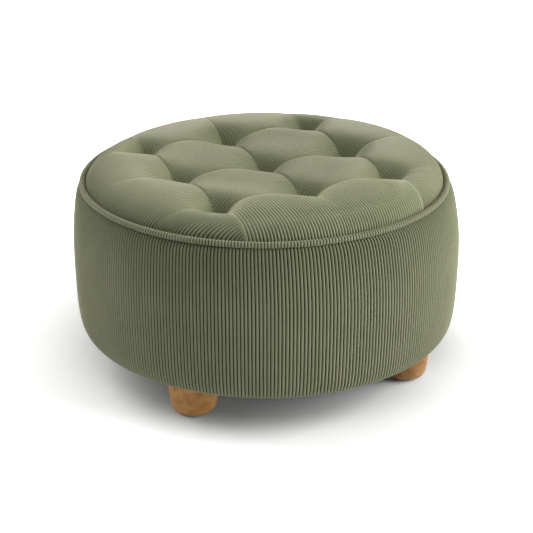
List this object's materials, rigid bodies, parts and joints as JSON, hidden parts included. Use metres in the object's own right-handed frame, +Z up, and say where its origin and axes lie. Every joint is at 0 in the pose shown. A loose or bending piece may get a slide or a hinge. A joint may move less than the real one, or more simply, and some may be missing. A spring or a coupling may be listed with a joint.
{
  "type": "tuffet",
  "caption": "Low round footstool: padded timber drum covered in wide-wale corduroy, with a blind-tufted crowned top, a piped top seam and short turned wooden feet.",
  "frame": {"origin": "centre of the drum, on the floor that the feet stand on", "axes": "+Z up along the drum's axis; +X and +Y along the rows and columns of the tufts"},
  "size_m": [0.65, 0.65, 0.348],
  "materials": {
    "corduroy": "sage green jumbo corduroy, matt with a soft nap sheen",
    "foam": "open-cell foam, matt",
    "plywood": "bare plywood",
    "fibreboard": "bare hardboard",
    "oiled_wood": "light brown oiled wood, satin",
    "zinc": "zinc plated",
    "twine": "waxed cotton twine",
    "felt": "pressed felt",
    "dust_cloth": "black non-woven cloth"
  },
  "bodies": {
    "root": {"side_cover": "corduroy", "top_cover": "corduroy", "piping_cover": "corduroy", "piping_cord": "twine", "seat_foam": "foam", "side_foam": "foam", "wall_skin": "fibreboard", "top_board": "plywood", "base_board": "plywood", "dust_cover": "dust_cloth", "foot_1": "oiled_wood", "foot_2": "oiled_wood", "foot_3": "oiled_wood", "foot_4": "oiled_wood", "foot_glide_1": "felt", "foot_glide_2": "felt", "foot_glide_3": "felt", "foot_glide_4": "felt", "foot_bolt_1": "zinc", "foot_bolt_2": "zinc", "foot_bolt_3": "zinc", "foot_bolt_4": "zinc", "tee_nut_1": "zinc", "tee_nut_2": "zinc", "tee_nut_3": "zinc", "tee_nut_4": "zinc", "post_1": "plywood", "post_2": "plywood", "post_3": "plywood", "post_4": "plywood", "post_top_screw_1": "zinc", "post_top_screw_2": "zinc", "post_top_screw_3": "zinc", "post_top_screw_4": "zinc", "post_base_screw_1": "zinc", "post_base_screw_2": "zinc", "post_base_screw_3": "zinc", "post_base_screw_4": "zinc", "tuft_tie_1": "twine", "tuft_tie_2": "twine", "tuft_tie_3": "twine", "tuft_tie_4": "twine", "tuft_tie_5": "twine", "tuft_tie_6": "twine", "tuft_tie_7": "twine", "tuft_tie_8": "twine", "tuft_tie_9": "twine", "tuft_washer_1": "zinc", "tuft_washer_2": "zinc", "tuft_washer_3": "zinc", "tuft_washer_4": "zinc", "tuft_washer_5": "zinc", "tuft_washer_6": "zinc", "tuft_washer_7": "zinc", "tuft_washer_8": "zinc", "tuft_washer_9": "zinc"}
  },
  "joints": []
}
